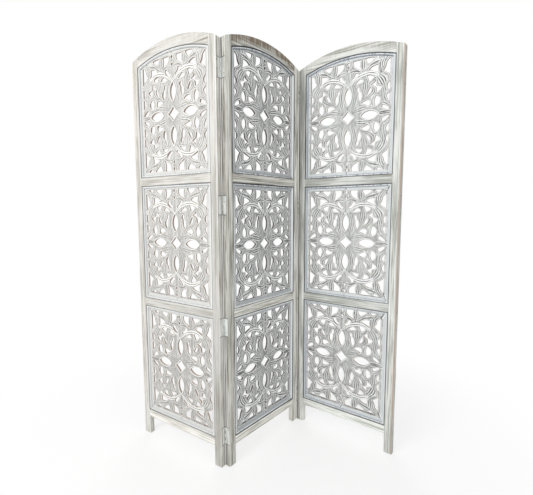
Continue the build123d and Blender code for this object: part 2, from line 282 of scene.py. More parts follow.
def carvedHeight(x, y, toOpening, rimLines, toMargin):
    swell = np.sqrt(np.clip(toOpening / carving["swellReach"], 0, 1))
    height = carving["ground"] + carving["swell"] * swell
    ribs = np.full(x.shape, carving["plainRib"])
    for strap in straps.values():
        surface, inRibs = strapSurface(x, y, *strap)
        ribs = np.where(surface > height, inRibs, ribs)
        height = np.maximum(height, surface)
    half = carving["rimWidth"] / 2
    fromRim = np.clip((distanceTo(x, y, rimLines) - half) / half, -1, 1)
    rim = carving["ground"] + (carving["rimTop"] - carving["ground"]) * np.sqrt(1 - fromRim**2)
    height = np.where(fromRim < 1, np.maximum(height, rim), height)
    ribs = np.where((toMargin < 0) | (fromRim < 1), carving["plainRib"], ribs)
    inward = np.clip(toMargin / carving["marginSlope"], 0, 1)
    height = carving["board"] + (height - carving["board"]) * inward
    r = carving["edgeRound"]
    t = np.clip(toOpening, 0, r)
    return height - (r - np.sqrt(r * r - (r - t) ** 2)), ribs


def panelOutline(node):
    # the edges of the openings and of the board, as segments in millimetres about its middle
    leaf = "_".join(node.split("_")[:2])
    bm = bmesh.new()
    bm.from_mesh(nodes[node].data)
    bmesh.ops.remove_doubles(bm, verts=bm.verts, dist=weld["solid"])
    bm.transform(leafMatrix(leaf).inverted())
    bm.normal_update()
    front = set(f for f in bm.faces if f.normal.y < frontFacing)
    rims = [e for e in bm.edges if sum(f in front for f in e.link_faces) == 1]
    low = min(v.co.z for v in bm.verts) / mm
    middle = low - carving["boardClearance"] + carving["openingHeight"] / 2
    corner = min((v for e in rims for v in e.verts), key=lambda v: v.co.x + v.co.z)
    board = {corner}
    grown = [corner]
    rimSet = set(rims)
    while grown:
        for e in grown.pop().link_edges:
            for v in e.verts:
                if e in rimSet and v not in board:
                    board.add(v)
                    grown.append(v)
    ends = [(a.co, b.co) for a, b in (e.verts for e in rims)]
    segments = np.array([(a.x, a.z, b.x, b.z) for a, b in ends]) / mm
    isBoard = np.array([e.verts[0] in board for e in rims])
    bm.free()
    segments[:, 1::2] -= middle
    return segments, isBoard, middle


def insideLoops(x, y, segments):
    # even-odd rule over all the loops
    inside = np.zeros(x.shape, bool)
    for ax, ay, bx, by in segments:
        crosses = (ay > y) != (by > y)
        if ay != by:
            crossing = (bx - ax) * (y[crosses] - ay) / (by - ay) + ax
            inside[crosses] ^= x[crosses] < crossing
    return inside


def hexPoints(x0, y0, x1, y1, step):
    rows = np.arange(y0, y1 + step, step * math.sqrt(3) / 2)
    columns = np.arange(x0, x1 + step, step)
    x, y = np.meshgrid(columns, rows)
    x = x + (np.arange(len(rows)) % 2 * step / 2)[:, None]
    return np.column_stack([x.ravel(), y.ravel()])


def marginDistance(x, y, arched):
    # how far inside the carved field a point is
    inside = np.minimum(carving["halfWidth"] - x, carving["halfHeight"] - np.abs(y))
    if arched:
        fromArch = carving["archRadius"] - np.hypot(x, y - carving["archCentre"])
        inside = np.minimum(inside, fromArch)
    return inside


def marginLine(arched, low):
    # the edge of the carved field, right of the long axis
    x1, y1 = carving["halfWidth"], carving["halfHeight"]
    if not arched:
        return [(x1, low), (x1, y1), (0, y1)]
    r, c = carving["archRadius"], carving["archCentre"]
    start = math.asin(x1 / r)
    end = math.acos((y1 - c) / r)
    angles = np.linspace(start, end, carving["archSteps"])
    arc = [(r * math.sin(a), c + r * math.cos(a)) for a in angles]
    return [(x1, low)] + arc + [(0, y1)]


def surfacePoints(segments, lines, low, high, right, arched):
    # points close together on the carved field, and wide apart on the margin
    start, marginStart = carvingPoints["start"], carvingPoints["marginStart"]
    farX = carving["halfWidth"] + carvingPoints["past"]
    farY = carving["halfHeight"] + carvingPoints["past"]
    field = hexPoints(start, low + start, farX, farY, carvingPoints["step"])
    margin = hexPoints(
        marginStart, low + marginStart, right - marginStart, high - marginStart,
        carvingPoints["marginStep"],
    )
    inField = marginDistance(field[:, 0], field[:, 1], arched) > carvingPoints["fieldGap"]
    inMargin = marginDistance(margin[:, 0], margin[:, 1], arched) < -carvingPoints["marginGap"]
    points = np.vstack([field[inField], margin[inMargin]])
    points = points[insideLoops(points[:, 0], points[:, 1], segments)]
    fromEdge = distanceTo(points[:, 0], points[:, 1], lines)
    return points[fromEdge > carvingPoints["edgeGap"] * carvingPoints["step"]]


def boardFaces(segments, isBoard, arched):
    # the flat faces of the right half of a panel, or of its upper right quarter
    low = segments[:, 1].min() if arched else 0
    high, right = segments[:, 1].max(), segments[:, 0].max()
    past = carvingPoints["past"]
    mine = np.maximum(segments[:, 0], segments[:, 2]) > -past
    mine &= np.maximum(segments[:, 1], segments[:, 3]) > low - past
    lines, openings = segments[mine], segments[mine & ~isBoard]
    points = surfacePoints(segments, lines, low, high, right, arched)
    ends = [tuple(v) for v in lines.reshape(-1, 2)]
    edges = [(i, i + 1) for i in range(0, len(ends), 2)]
    for path in ([(right, low), (0, low), (0, high)], marginLine(arched, low)):
        edges += [(len(ends) + i, len(ends) + i + 1) for i in range(len(path) - 1)]
        ends += path
    vertices = [Vector(v) for v in ends] + [Vector(v) for v in points]
    flat, _, faces, *_ = delaunay_2d_cdt(
        vertices, edges, [], 0, carvingPoints["sameSpot"], False
    )
    flat, faces = np.array(flat), np.array(faces)
    centre = flat[faces].mean(axis=1)
    isTimber = insideLoops(centre[:, 0], centre[:, 1], segments)
    return flat, faces[isTimber & (centre[:, 0] > 0) & (centre[:, 1] > low)], openings


def grooveDepth(height, faces):
    # how deep each point lies below the carving round it
    pairs = np.vstack([faces[:, [0, 1]], faces[:, [1, 2]], faces[:, [2, 0]]])
    first, second = pairs.T
    links = np.bincount(pairs.ravel(), minlength=len(height))
    level = height.copy()
    for _ in range(carving["cavityReach"]):
        total = np.bincount(first, level[second], len(level))
        total = total + np.bincount(second, level[first], len(level))
        level = (level + total / np.maximum(links, 1)) / 2
    return level - height


def carveShell(name, node, arched):
    # the carved front of a panel, with the sides of its openings down to the middle of the board
    segments, isBoard, middle = panelOutline(node)
    flat, faces, openings = boardFaces(segments, isBoard, arched)
    x, y = flat.T
    toOpening = distanceTo(x, y, openings)
    mids = np.abs(openings[:, :2] + openings[:, 2:]) / 2 / motifStretch()
    eyes = np.any(
        [np.hypot(mids[:, 0] - cx, mids[:, 1] - cy) < r for cx, cy, r in carving["rimmedEyes"]],
        axis=0,
    )
    toMargin = marginDistance(x, y, arched)
    height, ribs = carvedHeight(x, np.abs(y), toOpening, openings[eyes], toMargin)
    cavity = grooveDepth(height, faces)
    mesh = bpy.data.meshes.new(name)
    mesh.from_pydata(np.column_stack([x, -height, y]) * mm, [], faces.tolist())
    shell = bpy.data.objects.new(name, mesh)
    bpy.context.scene.collection.objects.link(shell)
    bpy.ops.object.select_all(action="DESELECT")
    shell.select_set(True)
    bpy.context.view_layer.objects.active = shell
    bpy.ops.object.mode_set(mode="EDIT")
    bpy.ops.mesh.select_all(action="SELECT")
    bpy.ops.mesh.delete_loose(use_verts=True, use_edges=True, use_faces=False)
    bpy.ops.object.mode_set(mode="OBJECT")
    thin = shell.modifiers.new("thin", "DECIMATE")
    thin.ratio = carvingPoints["keep"]
    bpy.ops.object.modifier_apply(modifier="thin")
    # the sides of the openings and of the board are pulled back from its front
    for v in shell.data.vertices:
        if abs(v.co.x) < weld["snap"]:
            v.co.x = 0
        if not arched and abs(v.co.z) < weld["snap"]:
            v.co.z = 0
    bpy.ops.object.mode_set(mode="EDIT")
    bpy.ops.mesh.select_mode(type="EDGE")
    bpy.ops.mesh.select_all(action="DESELECT")
    bm = bmesh.from_edit_mesh(shell.data)
    for e in bm.edges:
        a, b = (v.co for v in e.verts)
        onSeam = max(abs(a.x), abs(b.x)) < weld["line"]
        onSeam = onSeam or (not arched and max(abs(a.z), abs(b.z)) < weld["line"])
        e.select_set(e.is_boundary and not onSeam)
    bmesh.update_edit_mesh(shell.data)
    bpy.ops.mesh.extrude_region_move()
    bpy.ops.transform.resize(value=(1, 0, 1), center_override=(0, 0, 0))
    bpy.ops.object.mode_set(mode="OBJECT")
    # for the paint: how deep a point lies below the carving round it, how many ribs in from the
    # edge of its strap it is, and how many millimetres from an opening
    tree = KDTree(len(flat))
    for i, (px, py) in enumerate(flat * mm):
        tree.insert((px, 0, py), i)
    tree.balance()
    nearest = [tree.find((v.co.x, 0, v.co.z))[1] for v in shell.data.vertices]
    onFace = np.array([v.co.y < -weld["face"] for v in shell.data.vertices])
    for layer, values, onWall in (
        ("groove", cavity, carving["wallGroove"]),
        ("ribs", ribs, carving["plainRib"]),
        ("opening", toOpening, 0.0),
    ):
        attribute = shell.data.attributes.new(layer, "FLOAT", "POINT")
        attribute.data.foreach_set("value", np.where(onFace, values[nearest], onWall))
    mirror = shell.modifiers.new("mirror", "MIRROR")
    mirror.use_axis = (True, True, not arched)
    mirror.merge_threshold = weld["mirror"]
    bpy.ops.object.modifier_apply(modifier="mirror")
    bpy.ops.object.mode_set(mode="EDIT")
    bpy.ops.mesh.select_all(action="SELECT")
    bpy.ops.mesh.remove_doubles(threshold=weld["merge"])
    bpy.ops.mesh.normals_make_consistent(inside=False)
    bpy.ops.object.mode_set(mode="OBJECT")
    bpy.ops.object.shade_smooth_by_angle(angle=math.radians(carving["sharpAngle"]))
    shell.data.transform(Matrix.Translation((0, 0, middle * mm)))
    return shell, middle


def newGroup(name, inputs, outputs):
    group = bpy.data.node_groups.new(name, "ShaderNodeTree")
    for socketName, kind, value in inputs:
        socket = group.interface.new_socket(
            name=socketName, in_out="INPUT", socket_type="NodeSocket" + kind
        )
        if value is not None:
            socket.default_value = value
    for socketName, kind in outputs:
        group.interface.new_socket(
            name=socketName, in_out="OUTPUT", socket_type="NodeSocket" + kind
        )
    return group, Builder(group)


class Builder:
    # places nodes and links them, so that a material reads from top to bottom
    def __init__(self, tree):
        self.tree = tree

    def fill(self, socket, value):
        if isinstance(value, bpy.types.NodeSocket):
            self.tree.links.new(value, socket)
        else:
            socket.default_value = value

    def put(self, kind, settings=None, **links):
        # a socket is called by its name, or by an i and its number
        node = self.tree.nodes.new(kind if kind.startswith("NodeGroup") else "ShaderNode" + kind)
        for key, value in (settings or {}).items():
            setattr(node, key, value)
        for key, value in links.items():
            isNumber = key[0] == "i" and key[1:].isdigit()
            self.fill(node.inputs[int(key[1:]) if isNumber else key], value)
        return node

    def math(self, operation, a, b=0.0, c=0.0):
        return self.put("Math", {"operation": operation}, i0=a, i1=b, i2=c).outputs[0]

    def ramp(self, value, low, high, lowOut=0.0, highOut=1.0, smooth=True):
        settings = {"interpolation_type": "SMOOTHSTEP" if smooth else "LINEAR"}
        node = self.put("MapRange", settings, i0=value, i1=low, i2=high, i3=lowOut, i4=highOut)
        return node.outputs[0]

    def noise(self, vector, scale, detail=3.0, rough=0.55):
        node = self.put(
            "TexNoise", None, Vector=vector, Scale=scale, Detail=detail, Roughness=rough
        )
        return node.outputs[0]

    def stretch(self, vector, scale):
        return self.put("VectorMath", {"operation": "MULTIPLY"}, i0=vector, i1=scale).outputs[0]

    def axes(self, vector):
        return self.put("SeparateXYZ", None, i0=vector).outputs

    def fromCentre(self, axes, centre):
        # distance in the plane of the leaf from a point on its long axis
        rise = self.math("SUBTRACT", axes[2], centre)
        squares = self.math(
            "ADD", self.math("MULTIPLY", rise, rise), self.math("MULTIPLY", axes[0], axes[0])
        )
        return self.math("SQRT", squares)

    def blend(self, factor, a, b, mode="MIX"):
        node = self.put("Mix", {"data_type": "RGBA", "blend_type": mode})
        for index, value in ((0, factor), (6, a), (7, b)):
            self.fill(node.inputs[index], value)
        return node.outputs[2]

    def layer(self, mask, share, colour, over, mode="MIX"):
        # a colour laid over another where the mask says, at most to this share
        return self.blend(self.math("MULTIPLY", mask, share), colour, over, mode)


def tone(red, green, blue):
    # a colour from its 0 to 255 screen values
    screen = [value / 255 for value in (red, green, blue)]
    return (*(((v + 0.055) / 1.055) ** 2.4 if v > 0.04 else v / 12.92 for v in screen), 1.0)


# each pattern of the grain: its scale along and across the grain, and its detail
grainPatterns = {
    "Fine": ((9, 480, 480), 2.0),
    "Streak": ((2.6, 150, 150), 3.0),
    "Patch": ((5, 19, 19), 3.0),
    "Stroke": ((6.5, 200, 200), 1.0),
}
grainGroup, g = newGroup(
    "grainLines", [("Vector", "Vector", None)], [(name, "Float") for name in grainPatterns]
)
gIn = g.put("NodeGroupInput")
gOut = g.put("NodeGroupOutput")
for output, (scale, detail) in grainPatterns.items():
    pattern = g.noise(g.stretch(gIn.outputs[0], scale), 1.0, detail)
    g.tree.links.new(pattern, gOut.inputs[output])

# where the grain takes each layer of the coat, and how strongly
rubbing = {
    "patchShare": 0.55,
    "greyed": (0.70, 0.92),
    "greyShare": 0.85,
    "lines": (0.52, 0.70),
    "lineShare": 0.65,
    "fineShare": 0.35,
    "bared": (1.13, 1.30),
    "chalk": (0.86, 0.87, 0.85, 1),
    "chalked": (0.44, 0.30),
    "chalkShare": 0.5,
    "chalkLoss": 0.4,
    "darkStroke": (0.55, 0.67),
    "paleStroke": (0.45, 0.33),
}
coatGroup, g = newGroup(
    "rubbedCoat",
    [
        ("Vector", "Vector", None), ("Coat", "Color", None), ("Grey", "Color", None),
        ("Bare", "Color", None), ("Rub", "Float", 0.0), ("Wear", "Float", 0.0),
        ("Strokes", "Float", 0.0),
    ],
    [("Color", "Color"), ("Lines", "Float")],
)
gIn = g.put("NodeGroupInput")
gOut = g.put("NodeGroupOutput")
grain = g.put("Group", {"node_tree": grainGroup}, Vector=gIn.outputs["Vector"]).outputs
patches = g.math("MULTIPLY", grain["Patch"], rubbing["patchShare"])
cover = g.math("ADD", grain["Streak"], patches)
greyed = g.ramp(g.math("ADD", cover, gIn.outputs["Rub"]), *rubbing["greyed"])
colour = g.layer(greyed, rubbing["greyShare"], gIn.outputs["Coat"], gIn.outputs["Grey"])
lines = g.ramp(grain["Fine"], *rubbing["lines"])
colour = g.layer(lines, rubbing["lineShare"], colour, gIn.outputs["Grey"], "MULTIPLY")
fine = g.math("MULTIPLY", grain["Fine"], rubbing["fineShare"])
worn = g.math("ADD", g.math("ADD", cover, fine), gIn.outputs["Wear"])
bare = g.ramp(worn, *rubbing["bared"])
colour = g.blend(bare, colour, gIn.outputs["Bare"])
chalkLoss = g.math("MULTIPLY", bare, rubbing["chalkLoss"])
chalkShare = g.math("SUBTRACT", rubbing["chalkShare"], chalkLoss)
chalked = g.ramp(grain["Fine"], *rubbing["chalked"])
colour = g.layer(chalked, chalkShare, colour, rubbing["chalk"])
darkStroke = g.ramp(grain["Stroke"], *rubbing["darkStroke"])
paleStroke = g.ramp(grain["Stroke"], *rubbing["paleStroke"])
colour = g.layer(darkStroke, gIn.outputs["Strokes"], colour, gIn.outputs["Grey"], "MULTIPLY")
colour = g.layer(paleStroke, gIn.outputs["Strokes"], colour, rubbing["chalk"])
g.tree.links.new(colour, gOut.inputs["Color"])
g.tree.links.new(lines, gOut.inputs["Lines"])

# how far inside the edge of an opening a point of a leaf is, in metres
opening = {
    "halfWidth": 0.2055,
    "height": 0.518,
    "sill": 0.126,
    "storeyHeight": 0.556,
    "archCentre": 1.151,
    "archRadius": 0.605,
    "archLevel": 1.45,  # above it the arch counts
}
openingGroup, g = newGroup("openingReach", [("Vector", "Vector", None)], [("Inside", "Float")])
gIn = g.put("NodeGroupInput")
gOut = g.put("NodeGroupOutput")
axes = g.axes(gIn.outputs[0])
fromSide = g.math("SUBTRACT", opening["halfWidth"], g.math("ABSOLUTE", axes[0]))
aboveSill = g.math("SUBTRACT", axes[2], opening["sill"])
storey = g.math("MODULO", aboveSill, opening["storeyHeight"])
fromRail = g.math("MINIMUM", storey, g.math("SUBTRACT", opening["height"], storey))
spoke = g.fromCentre(axes, opening["archCentre"])
fromArch = g.math(
    "ADD",
    g.math("SUBTRACT", opening["archRadius"], spoke),
    g.math("LESS_THAN", axes[2], opening["archLevel"]),
)
inside = g.math("MINIMUM", g.math("MINIMUM", fromSide, fromRail), fromArch)
g.tree.links.new(inside, gOut.inputs["Inside"])

# how far a point of a leaf is above or below the middle of the nearest hinge, in metres
hingeLevels = (0.135, 0.610, 1.110, 1.6353)
hingeGroup, g = newGroup("hingeReach", [("Vector", "Vector", None)], [("Away", "Float")])
gIn = g.put("NodeGroupInput")
gOut = g.put("NodeGroupOutput")
rise = g.axes(gIn.outputs[0])[2]
away = 1.0
for hingeLevel in hingeLevels:
    apart = g.math("ABSOLUTE", g.math("SUBTRACT", rise, hingeLevel))
    away = g.math("MINIMUM", away, apart)
g.tree.links.new(away, gOut.inputs["Away"])

paint = {"bare": tone(112, 94, 70), "foldShade": tone(74, 63, 52), "roughness": 0.62}
# each leaf's colours are lit and shaded copies of one paint: besides its own tones they hold
# painted light and painted shade for that leaf
leafPaintAndLight = {
    "left_leaf": {
        "coat": tone(224, 222, 216), "grey": tone(174, 171, 161), "metal": tone(236, 240, 238),
        "seam": 0.6, "seamAndShadeTone": tone(84, 85, 90),
        "bead": tone(226, 227, 225), "beadGrey": tone(196, 200, 201),
        "litBead": tone(226, 227, 225), "lowPaleLight": 0.2,
        "leftArris": tone(226, 214, 200), "rightArris": tone(246, 246, 244),
        "arrisLower": 0.3, "arrisUpper": 0.9, "leftShade": 0.0,
        "endLower": 1.2, "endUpper": 1.10, "folds": (0, 1), "strokes": (0.08, 0.6),
        "board": tone(204, 203, 199), "boardGrey": tone(182, 182, 179),
        "margin": tone(216, 216, 213), "white": tone(240, 239, 235),
        "dark": tone(112, 106, 100), "wallShade": tone(164, 148, 134),
        "line": 0.8, "rim": 0.6, "crest": 0.35, "lowDarkening": 0.4,
    },
    "middle_leaf": {
        "coat": tone(208, 207, 200), "grey": tone(142, 141, 130), "metal": tone(224, 229, 226),
        "seam": 1.0, "seamAndShadeTone": tone(46, 46, 50),
        "bead": tone(222, 227, 230), "beadGrey": tone(124, 129, 136),
        "litBead": tone(246, 249, 250), "lowPaleLight": 0.4,
        "leftArris": tone(206, 204, 194), "rightArris": tone(126, 117, 102),
        "arrisLower": 0.6, "arrisUpper": 0.6, "leftShade": 0.0,
        "endLower": 0.88, "endUpper": 0.84, "folds": (1, -1), "strokes": (0.5, 0.65),
        "board": tone(176, 178, 177), "boardGrey": tone(142, 144, 143),
        "margin": tone(184, 188, 190), "white": tone(240, 242, 241),
        "dark": tone(28, 26, 26), "wallShade": tone(74, 62, 56),
        "line": 1.0, "rim": 0.75, "crest": 1.0, "lowDarkening": 0.18,
    },
    "right_leaf": {
        "coat": tone(218, 219, 214), "grey": tone(152, 155, 147), "metal": tone(226, 231, 228),
        "seam": 0.9, "seamAndShadeTone": tone(68, 70, 74),
        "bead": tone(222, 226, 229), "beadGrey": tone(144, 153, 163),
        "litBead": tone(218, 222, 222), "lowPaleLight": 0.3,
        "leftArris": tone(84, 71, 60), "rightArris": tone(172, 152, 138),
        "arrisLower": 1.0, "arrisUpper": 0.85, "leftShade": 0.4,
        "endLower": 0.8, "endUpper": 0.8, "folds": (-1, 0), "strokes": (0.22, 0.5),
        "board": tone(203, 204, 201), "boardGrey": tone(170, 172, 170),
        "margin": tone(218, 222, 223), "white": tone(243, 244, 243),
        "dark": tone(58, 56, 54), "wallShade": tone(130, 112, 96),
        "line": 1.0, "rim": 0.6, "crest": 0.75, "lowDarkening": 0.4,
    },
}
upright = (0, math.pi / 2, 0)
lying = (0, 0, 0)


def startMaterial(name, leaf, turn, offset=(0, 0, 0)):
    material = bpy.data.materials.new(name)
    material.use_nodes = True
    b = Builder(material.node_tree)
    shader = material.node_tree.nodes["Principled BSDF"]
    place = leafPlaces[leaf]
    onLeaf = b.put(
        "Mapping", {"vector_type": "TEXTURE"}, Vector=b.put("TexCoord").outputs["Object"],
        Location=(place["x"], place["y"], 0), Rotation=(0, 0, math.radians(place["turn"])),
    ).outputs[0]
    grainPlace = b.put("Mapping", None, Vector=onLeaf, Location=offset, Rotation=turn).outputs[0]
    return material, b, shader, onLeaf, grainPlace


def rubbedCoat(b, grainPlace, coat, grey, rub, wear, strokes):
    return b.put(
        "Group", {"node_tree": coatGroup}, Vector=grainPlace, Coat=coat, Grey=grey,
        Bare=paint["bare"], Rub=rub, Wear=wear, Strokes=strokes,
    ).outputs


def fromOpening(b, onLeaf):
    return b.put("Group", {"node_tree": openingGroup}, Vector=onLeaf).outputs[0]


def fromHinge(b, onLeaf):
    return b.put("Group", {"node_tree": hingeGroup}, Vector=onLeaf).outputs[0]


def finishPaint(b, shader, colour, height, look):
    b.tree.links.new(colour, shader.inputs["Base Color"])
    shader.inputs["Roughness"].default_value = paint["roughness"]
    node = b.put("Bump", None, Strength=look["bump"], Distance=look["bumpDepth"], Height=height)
    b.tree.links.new(node.outputs[0], shader.inputs["Normal"])


# where the paint of the frame changes, in metres along, across or up a leaf
frameWear = {
    "seam": (-0.0038, -0.0008),
    "leftShade": (-0.243, -0.212),
    "end": (0.2417, 0.2421),
    "endLines": 0.5,
    "arris": (0.2345, 0.2385),
    "arrisLevels": (1.2, 1.6),
    "shadeLevels": (0.3, 1.5),
    "sides": (-0.1, 0.1),
    "foldShade": (0.0068, 0.0098),
    "foldShadeShare": 0.85,
    "hingeEdge": 0.0385,
    "hingeSeam": (0.0022, 0.0008),
    "hingeSeamShare": 0.6,
    "bump": 0.25,
    "bumpDepth": 0.0004,
}
# the crest is rubbed bare in short strokes across the rail
crestWear = {
    "centre": 1.195,
    "strokes": (170, 20, 12),
    "strokeReach": 0.024,
    "reach": (0.584, 0.602),
    "cover": (0.36, 0.54, 0.35, 1.0),
}


def frameTimber(name, leaf, turn, offset, rub, wear, crest, upperLight, lowerLight):
    material, b, shader, onLeaf, grainPlace = startMaterial(name, leaf, turn, offset)
    look = leafPaintAndLight[leaf]
    axes = b.axes(onLeaf)
    fromMiddle = b.math("ABSOLUTE", axes[0])
    end = b.ramp(fromMiddle, *frameWear["end"])
    strokes = b.ramp(end, 0.0, 1.0, *look["strokes"])
    coat = rubbedCoat(b, grainPlace, look["coat"], look["grey"], rub, wear, strokes)
    colour = coat["Color"]
    if crest:
        rubbed = b.noise(b.stretch(onLeaf, crestWear["strokes"]), 1.0, 1.0)
        spoke = b.fromCentre(axes, crestWear["centre"])
        reached = b.math("ADD", spoke, b.math("MULTIPLY", rubbed, crestWear["strokeReach"]))
        bared = b.math(
            "MULTIPLY", b.ramp(reached, *crestWear["reach"]), b.ramp(rubbed, *crestWear["cover"])
        )
        colour = b.layer(bared, crest, colour, paint["bare"])
    # a dark seam along the opening: partly a dark joint and partly painted shade, its strength set
    # by leaf
    seam = b.ramp(fromOpening(b, onLeaf), *frameWear["seam"], 0.0, look["seam"])
    colour = b.blend(seam, colour, look["seamAndShadeTone"])
    shade = b.ramp(axes[0], *frameWear["leftShade"], 1 - look["leftShade"], 1.0)
    colour = b.blend(1.0, colour, shade, "MULTIPLY")
    # the front arris: partly worn, partly a painted highlight on some leaves and painted shade on
    # others, its share changing with height
    worn = b.blend(b.math("GREATER_THAN", axes[0], 0.0), look["leftArris"], look["rightArris"])
    onFront = b.math("SUBTRACT", 1.0, end)
    arris = b.math("MULTIPLY", b.ramp(fromMiddle, *frameWear["arris"]), onFront)
    arrisShare = b.ramp(axes[2], *frameWear["arrisLevels"], look["arrisLower"], look["arrisUpper"])
    colour = b.layer(arris, arrisShare, colour, worn)
    # the end of the leaf shows its grain in bare timber, is painted lighter or darker by leaf as
    # painted light and shade, and has painted shade toward the fold
    endLines = b.math("MULTIPLY", coat["Lines"], end)
    colour = b.layer(endLines, frameWear["endLines"], colour, paint["bare"])
    endLight = b.ramp(axes[2], *frameWear["shadeLevels"], look["endLower"], look["endUpper"])
    colour = b.blend(end, colour, endLight, "MULTIPLY")
    towardFold = b.math("MULTIPLY", axes[1], b.ramp(axes[0], *frameWear["sides"], *look["folds"]))
    foldShadeShare = b.math("MULTIPLY", end, frameWear["foldShadeShare"])
    foldShade = b.ramp(towardFold, *frameWear["foldShade"])
    colour = b.layer(foldShade, foldShadeShare, colour, paint["foldShade"])
    # a seam runs round each hinge
    fromEdge = b.math("SUBTRACT", fromHinge(b, onLeaf), frameWear["hingeEdge"])
    hingeSeam = b.ramp(b.math("ABSOLUTE", fromEdge), *frameWear["hingeSeam"])
    hingeSeam = b.math("MULTIPLY", hingeSeam, end)
    colour = b.layer(hingeSeam, frameWear["hingeSeamShare"], colour, look["seamAndShadeTone"])
    # painted light and shade: the timber's colour is scaled brighter or darker high and low on the
    # leaf
    light = b.ramp(axes[2], *frameWear["shadeLevels"], lowerLight, upperLight)
    colour = b.blend(1.0, colour, light, "MULTIPLY")
    finishPaint(b, shader, colour, coat["Lines"], frameWear)
    return material


# in metres in from the edge of the opening, but the right side and the low level on the leaf
beadWear = {
    "rub": -0.03,
    "wear": -0.1,
    "seam": (0.0036, 0.0018),
    "groove": (0.0064, 0.0078),
    "grooveShare": 0.85,
    "rightSide": (0.190, 0.196),
    "rightShare": 0.8,
    "low": (1.16, 1.10),
    "paleEdge": (0.0006, 0.0022),
    "bump": 0.2,
    "bumpDepth": 0.0003,
}


def beadTimber(name, leaf, offset):
    material, b, shader, onLeaf, grainPlace = startMaterial(name, leaf, upright, offset)
    look = leafPaintAndLight[leaf]
    coat = rubbedCoat(
        b, grainPlace, look["bead"], look["beadGrey"], beadWear["rub"], beadWear["wear"],
        look["strokes"][0],
    )
    inside = fromOpening(b, onLeaf)
    # a dark seam at the outer edge of the bead: partly a dark joint and partly painted shade, its
    # strength set by leaf
    seam = b.ramp(inside, *beadWear["seam"], 0.0, look["seam"])
    colour = b.blend(seam, coat["Color"], look["seamAndShadeTone"])
    # painted shade on the inner part of the bead, in its grey
    groove = b.ramp(inside, *beadWear["groove"], 0.0, beadWear["grooveShare"])
    colour = b.blend(groove, colour, look["beadGrey"])
    # painted light: the mouldings on the right of the openings and low on the leaf are painted
    # paler, as if lit
    axes = b.axes(onLeaf)
    onRight = b.ramp(axes[0], *beadWear["rightSide"], 0.0, beadWear["rightShare"])
    low = b.ramp(axes[2], *beadWear["low"], 0.0, look["lowPaleLight"])
    paintedLight = b.math("MAXIMUM", onRight, low)
    colour = b.layer(paintedLight, b.ramp(inside, *beadWear["paleEdge"]), colour, look["litBead"])
    finishPaint(b, shader, colour, coat["Lines"], beadWear)
    return material


# darkening levels and margin in metres on the leaf, moat, rim and wall shade in millimetres from an
# opening, crown in metres from the middle of the board, and the rest in ribs or in the depth of a
# groove
carvedWear = {
    "rub": 0.0,
    "wear": -0.08,
    "blotchScale": 38.0,
    "blotched": (0.30, 0.70),
    "darkeningLevels": (1.30, 0.35),
    "margin": (0.0236, 0.0226),
    "marginShare": 0.8,
    "wornScale": 60.0,
    "worn": (0.30, 0.60, 0.35, 1.0),
    "crest": (0.28, 0.44),
    "vein": (0.21, 0.10),
    "groove": (0.20, 0.46),
    "moat": 6.6,
    "moatWidth": (1.5, 0.5),
    "moatShare": 0.75,
    "rim": (5.6, 4.2),
    "crown": (0.0046, 0.0053),
    "crownRib": (0.12, 0.24, 0.0, 0.95),
    "wallShade": (1.9, 1.1),
    "wallShare": 0.85,
    "bump": 0.15,
    "bumpDepth": 0.0008,
}


